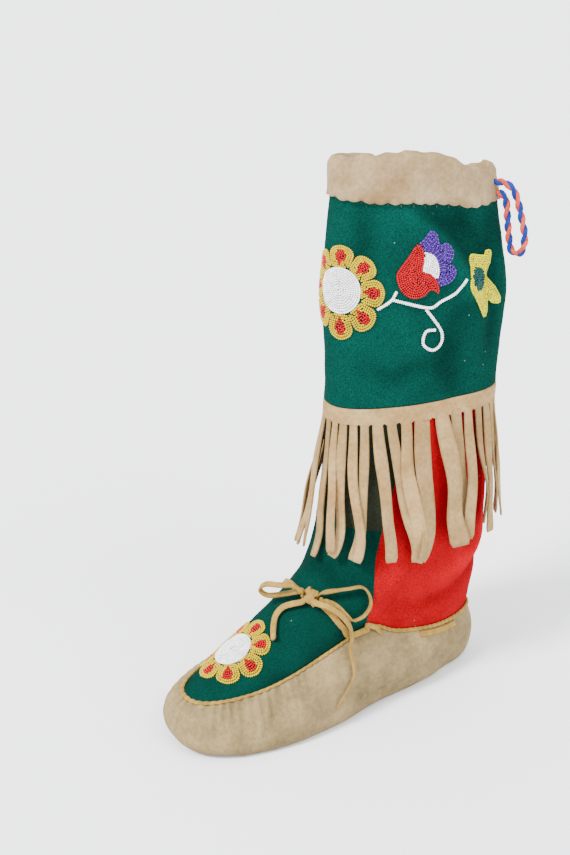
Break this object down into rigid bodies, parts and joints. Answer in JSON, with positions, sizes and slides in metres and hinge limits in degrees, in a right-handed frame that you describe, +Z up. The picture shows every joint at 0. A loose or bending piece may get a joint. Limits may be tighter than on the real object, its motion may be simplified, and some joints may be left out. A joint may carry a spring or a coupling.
{
  "type": "mukluk boot",
  "caption": "Knee-high soft boot of wool and hide: gathered moccasin bottom, slack open shaft, hanging hide fringe, beaded band, instep bow and drawstring loop.",
  "frame": {"origin": "on the floor, at the middle of the heel's flat spot", "axes": "+Z up along the shaft, -Y towards the toe, +X towards the wearer's left"},
  "size_m": [0.111, 0.2967, 0.4134],
  "materials": {
    "smoked_hide": "napped smoked moose hide, matt",
    "fringe_hide": "napped smoked hide, matt, cut edges",
    "lace_hide": "smooth tanned hide thong, dull",
    "felt": "pressed grey wool felt",
    "wool_cloth": "fulled wool cloth over a lining, matt",
    "cuff_cloth": "fulled wool cloth, matt",
    "flower_beads": "glossy seed beads, opaque",
    "tulip_beads": "glossy seed beads, opaque",
    "bloom_beads": "glossy seed beads, opaque",
    "vine_beads": "glossy seed beads, opaque",
    "wool_cord": "twisted two-ply wool yarn, blue and coral"
  },
  "bodies": {
    "root": {"moccasin_bottom": "smoked_hide", "insole": "felt", "seam_welt": "lace_hide", "upper": "wool_cloth", "beaded_band": "cuff_cloth", "rim_casing": "smoked_hide", "fringe": "fringe_hide", "vamp_flower_beads": "flower_beads", "cuff_flower_beads": "flower_beads", "tulip_beads_left": "tulip_beads", "tulip_beads_right": "tulip_beads", "bloom_beads_left": "bloom_beads", "bloom_beads_right": "bloom_beads", "vine_beads_left": "vine_beads", "vine_beads_right": "vine_beads", "lace_heel_left": "lace_hide", "lace_heel_right": "lace_hide", "lace_instep": "lace_hide", "lace_knot": "lace_hide", "lace_loop_left": "lace_hide", "lace_loop_right": "lace_hide", "lace_end_left": "lace_hide", "lace_end_right": "lace_hide", "drawstring_loop": "wool_cord"}
  },
  "joints": []
}
